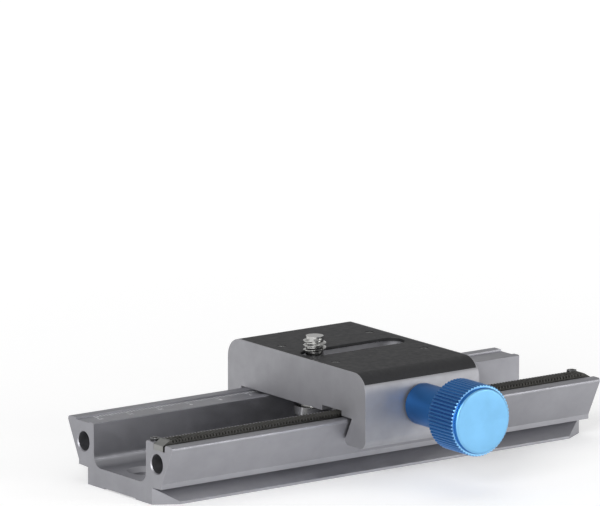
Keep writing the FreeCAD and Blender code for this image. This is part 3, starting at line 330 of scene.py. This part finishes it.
# The knob's outward faces and edges get lighter blues: painted light and painted highlights.
fine_edges(
    "focus_knob", 0.05 * MM, "blue_painted_edge_highlight", segments=1, accent="blue_painted_rim_highlight", chosen=faces_painted_lighter
)
fine_edges("knob_cap", 0.05 * MM, "blue_painted_rim_highlight", accent="blue_painted_lit_face", chosen=faces_painted_lighter)
fine_edges("knob_sleeve", 0.08 * MM, "blue_painted_edge_highlight")
fine_edges("lock_knob", 0.05 * MM, "black_anodised", segments=1)
fine_edges("lock_screw", 0.1 * MM, "steel_painted_edge_highlight")
fine_edges("slot_washer", 0.05 * MM, "steel_painted_edge_highlight")
for end in ("front", "rear"):
    fine_edges(f"end_stop_screw_{end}", 0.08 * MM, "steel_painted_edge_highlight")
    fine_edges(f"rack_screw_{end}", 0.06 * MM, "steel_painted_edge_highlight")
    fine_edges(f"glide_set_screw_{end}", 0.08 * MM, "steel_painted_edge_highlight")
    for side in ("near", "far"):
        fine_edges(f"mat_screw_{side}_{end}", 0.05 * MM, "steel_painted_edge_highlight")


# Camera screw: its thread stands on a core inside the plain cylinder

THREAD_PITCH = 1.27 * MM
THREAD_CORE = 2.45 * MM
THREAD_CREST_HALF = 0.09 * MM
THREAD_ROOT_HALF = 0.55 * MM
THREAD_SINK = 0.98
THREAD_RUN_OUT = 0.3
THREAD_LEAST_SHARE = 0.02
THREAD_END_ROOM = 2.6
THREAD_REGION = 6
THREAD_STEPS = 40
NEARLY = 0.01 * MM


def thread_section(crest):
    """The thread's section as radius and height, its root sunk a little into the core."""
    return (
        (THREAD_CORE * THREAD_SINK, -THREAD_ROOT_HALF),
        (crest, -THREAD_CREST_HALF),
        (crest, THREAD_CREST_HALF),
        (THREAD_CORE * THREAD_SINK, THREAD_ROOT_HALF),
    )


def thread_screw(work):
    """Draws the threaded end in to its core and winds the thread around it."""
    centre = middle("camera_screw")

    def distance(vert):
        return math.hypot(vert.co.x - centre.x, vert.co.y - centre.y)

    tip = max(vert.co.z for vert in work.verts)
    reach = max(distance(vert) for vert in work.verts if vert.co.z > tip - THREAD_PITCH)
    region = tip - THREAD_REGION * THREAD_PITCH
    start = min(
        vert.co.z
        for vert in work.verts
        if abs(distance(vert) - reach) < NEARLY and vert.co.z > region
    )
    for vert in work.verts:
        out = Vector((vert.co.x - centre.x, vert.co.y - centre.y))
        if vert.co.z > start - NEARLY and out.length > THREAD_CORE:
            out = out.normalized() * THREAD_CORE
            vert.co.x = centre.x + out.x
            vert.co.y = centre.y + out.y
    low = start + THREAD_ROOT_HALF
    turns = (tip - start - THREAD_END_ROOM * THREAD_ROOT_HALF) / THREAD_PITCH
    rings = []
    for step in range(round(turns * THREAD_STEPS) + 1):
        done = step / THREAD_STEPS
        height = low + done * THREAD_PITCH
        share = min(done / THREAD_RUN_OUT, (turns - done) / THREAD_RUN_OUT, 1)
        crest = THREAD_CORE + max(share, THREAD_LEAST_SHARE) * (reach - THREAD_CORE)
        turn = 2 * math.pi * done
        ring = []
        for radius, rise in thread_section(crest):
            x = centre.x + radius * math.cos(turn)
            y = centre.y + radius * math.sin(turn)
            ring.append(work.verts.new((x, y, height + rise)))
        rings.append(ring)
    for first, second in zip(rings, rings[1:]):
        for corner in range(4):
            beyond = (corner + 1) % 4
            work.faces.new((first[corner], second[corner], second[beyond], first[beyond]))
    work.faces.new(rings[0])
    work.faces.new(reversed(rings[-1]))
    bmesh.ops.recalc_face_normals(work, faces=work.faces)


fine_edges("camera_screw", 0.05 * MM, "bright_steel", segments=1, reshape=thread_screw)


# Scale on the far wall, read from the far side

SCALE_FIRST = 5.6 * MM
SCALE_TICKS = 120
TICKS_PER_NUMERAL = 10
SCALE_STRETCH = 1.0026
TICK_WIDTH = 0.2 * MM
TICK_LENGTHS = {1: 1.3 * MM, 5: 1.7 * MM, 10: 2.1 * MM}
TICK_EDGE_GAP = 0.1 * MM
MARK_HEIGHT = 0.02 * MM
BAND_OUTER = 20.45 * MM
BAND_FLOOR = 17.05 * MM
NUMERAL_MIDDLE = 17.0 * MM
NUMERAL_SIZE = 2.0 * MM
NUMERAL_NARROWING = 0.85


def numeral_mesh(text):
    """A raised numeral around the origin, in the built-in plain letters."""
    curve = bpy.data.curves.new(f"numeral_{text}", "FONT")
    curve.body = text
    curve.size = NUMERAL_SIZE
    curve.align_x = "CENTER"
    curve.align_y = "CENTER"
    curve.extrude = MARK_HEIGHT / 2
    obj = bpy.data.objects.new(f"numeral_{text}", curve)
    bpy.context.scene.collection.objects.link(obj)
    graph = bpy.context.evaluated_depsgraph_get()
    mesh = bpy.data.meshes.new_from_object(obj.evaluated_get(graph))
    bpy.data.objects.remove(obj)
    return mesh


def make_scale():
    work = bmesh.new()
    height = BAND_FLOOR + MARK_HEIGHT / 2
    for tick in range(SCALE_TICKS + 1):
        x = rail_low.x + (SCALE_FIRST + tick * MM) * SCALE_STRETCH
        length = TICK_LENGTHS[max(step for step in TICK_LENGTHS if tick % step == 0)]
        size = Matrix.Diagonal((TICK_WIDTH, length, MARK_HEIGHT, 1))
        place = Matrix.Translation((x, BAND_OUTER - TICK_EDGE_GAP - length / 2, height))
        bmesh.ops.create_cube(work, size=1, matrix=place @ size)
    flip = Matrix.Rotation(math.pi, 4, "Z") @ Matrix.Diagonal((NUMERAL_NARROWING, 1, 1, 1))
    last = SCALE_TICKS // TICKS_PER_NUMERAL
    for index in range(last + 1):
        x = rail_low.x + (SCALE_FIRST + index * TICKS_PER_NUMERAL * MM) * SCALE_STRETCH
        mesh = numeral_mesh(str(last - index))
        mesh.transform(Matrix.Translation((x, NUMERAL_MIDDLE, height)) @ flip)
        work.from_mesh(mesh)
        bpy.data.meshes.remove(mesh)
    mesh = bpy.data.meshes.new("rail_scale")
    work.to_mesh(mesh)
    work.free()
    obj = bpy.data.objects.new("rail_scale", mesh)
    place_piece(obj, "rail", "grey_anodised")
    use(obj, "white_mark")


make_scale()


# Stage, light and camera

FLOOR_REACH = 3.0
FLOOR_COLOUR = rgb(240, 240, 240)
FLOOR_LIFT = (0.28, 0.5)
LIFT_NEAR = 0.12
LIFT_FAR = 0.7
HORIZON_LEVEL = 0.62
ZENITH_LEVEL = 0.45
ZENITH_START = 0.7
LAMP_TARGET = Vector((0, 0, 0.015))


def seen_directly(tree):
    """1 for camera, glossy and transmission rays, 0 for the floor's diffuse light."""
    path = tree.nodes.new("ShaderNodeLightPath")
    total = path.outputs["Is Camera Ray"]
    for name in ("Is Glossy Ray", "Is Transmission Ray"):
        either = tree.nodes.new("ShaderNodeMath")
        either.operation = "MAXIMUM"
        tree.links.new(total, either.inputs[0])
        tree.links.new(path.outputs[name], either.inputs[1])
        total = either.outputs[0]
    return total


def background_finish(name, colour, lift):
    """A matt surface that is seen lighter, near the object by the first share and far from it by
    the second, and keeps the shadows on it."""
    finish = Finish(name, colour, roughness=0.9)
    seen = seen_directly(finish.tree)
    reach = finish.vector_math("LENGTH", finish.place)
    share = finish.ranged(reach.outputs["Value"], *lift, start=LIFT_NEAR, end=LIFT_FAR)
    strength = finish.node(
        "ShaderNodeMath", {"operation": "MULTIPLY"}, None, {0: seen, 1: share}
    )
    finish.set(finish.shader, {"Emission Color": WHITE})
    finish.link(strength.outputs[0], "Emission Strength")
    return finish.material


def make_stage():
    size = FLOOR_REACH
    mesh = bpy.data.meshes.new("floor")
    corners = [(-size, -size, 0), (size, -size, 0), (size, size, 0), (-size, size, 0)]
    mesh.from_pydata([Vector(c) for c in corners], [], [(0, 1, 2, 3)])
    floor = bpy.data.objects.new("floor", mesh)
    bpy.context.scene.collection.objects.link(floor)
    floor.data.materials.append(background_finish("floor", FLOOR_COLOUR, FLOOR_LIFT))


def make_world():
    world = bpy.data.worlds.new("studio")
    bpy.context.scene.world = world
    world.use_nodes = True
    tree = world.node_tree
    background = tree.nodes["Background"]
    place = tree.nodes.new("ShaderNodeTexCoord")
    parts = tree.nodes.new("ShaderNodeSeparateXYZ")
    tree.links.new(place.outputs["Generated"], parts.inputs[0])
    level = tree.nodes.new("ShaderNodeMapRange")
    level.inputs["From Min"].default_value = 0
    level.inputs["From Max"].default_value = ZENITH_START
    level.inputs["To Min"].default_value = HORIZON_LEVEL
    level.inputs["To Max"].default_value = ZENITH_LEVEL
    tree.links.new(parts.outputs["Z"], level.inputs["Value"])
    background.inputs["Color"].default_value = WHITE
    tree.links.new(level.outputs["Result"], background.inputs["Strength"])


def make_lamp(name, place, size, power):
    light = bpy.data.lights.new(name, "AREA")
    light.shape = "RECTANGLE"
    light.size, light.size_y = size
    light.energy = power
    lamp = bpy.data.objects.new(name, light)
    lamp.location = place
    lamp.rotation_mode = "QUATERNION"
    lamp.rotation_quaternion = (LAMP_TARGET - Vector(place)).to_track_quat("-Z", "Y")
    bpy.context.scene.collection.objects.link(lamp)


def make_camera():
    data = bpy.data.cameras.new("camera")
    data.lens = CAMERA_LENS
    data.sensor_width = SENSOR_WIDTH
    data.clip_start = 0.1
    data.clip_end = 20
    camera = bpy.data.objects.new("camera", data)
    bpy.context.scene.collection.objects.link(camera)
    sight = Vector((
        math.cos(CAMERA_DROP) * math.sin(CAMERA_TURN),
        math.cos(CAMERA_DROP) * math.cos(CAMERA_TURN),
        -math.sin(CAMERA_DROP),
    ))
    aim = sight.to_track_quat("-Z", "Y").to_matrix() @ Matrix.Rotation(CAMERA_ROLL, 3, "Z")
    camera.location = CAMERA_PLACE
    camera.rotation_mode = "QUATERNION"
    camera.rotation_quaternion = aim.to_quaternion()
    bpy.context.scene.camera = camera


make_stage()
make_world()
make_lamp("key", (-1.3, -0.9, 0.7), (0.9, 0.9), 18)
make_lamp("side", (1.0, -1.4, 0.45), (0.8, 0.8), 7)
make_lamp("top", (0.1, 0.3, 1.4), (1.0, 1.0), 2)
make_camera()
bpy.context.scene.view_settings.view_transform = "Standard"
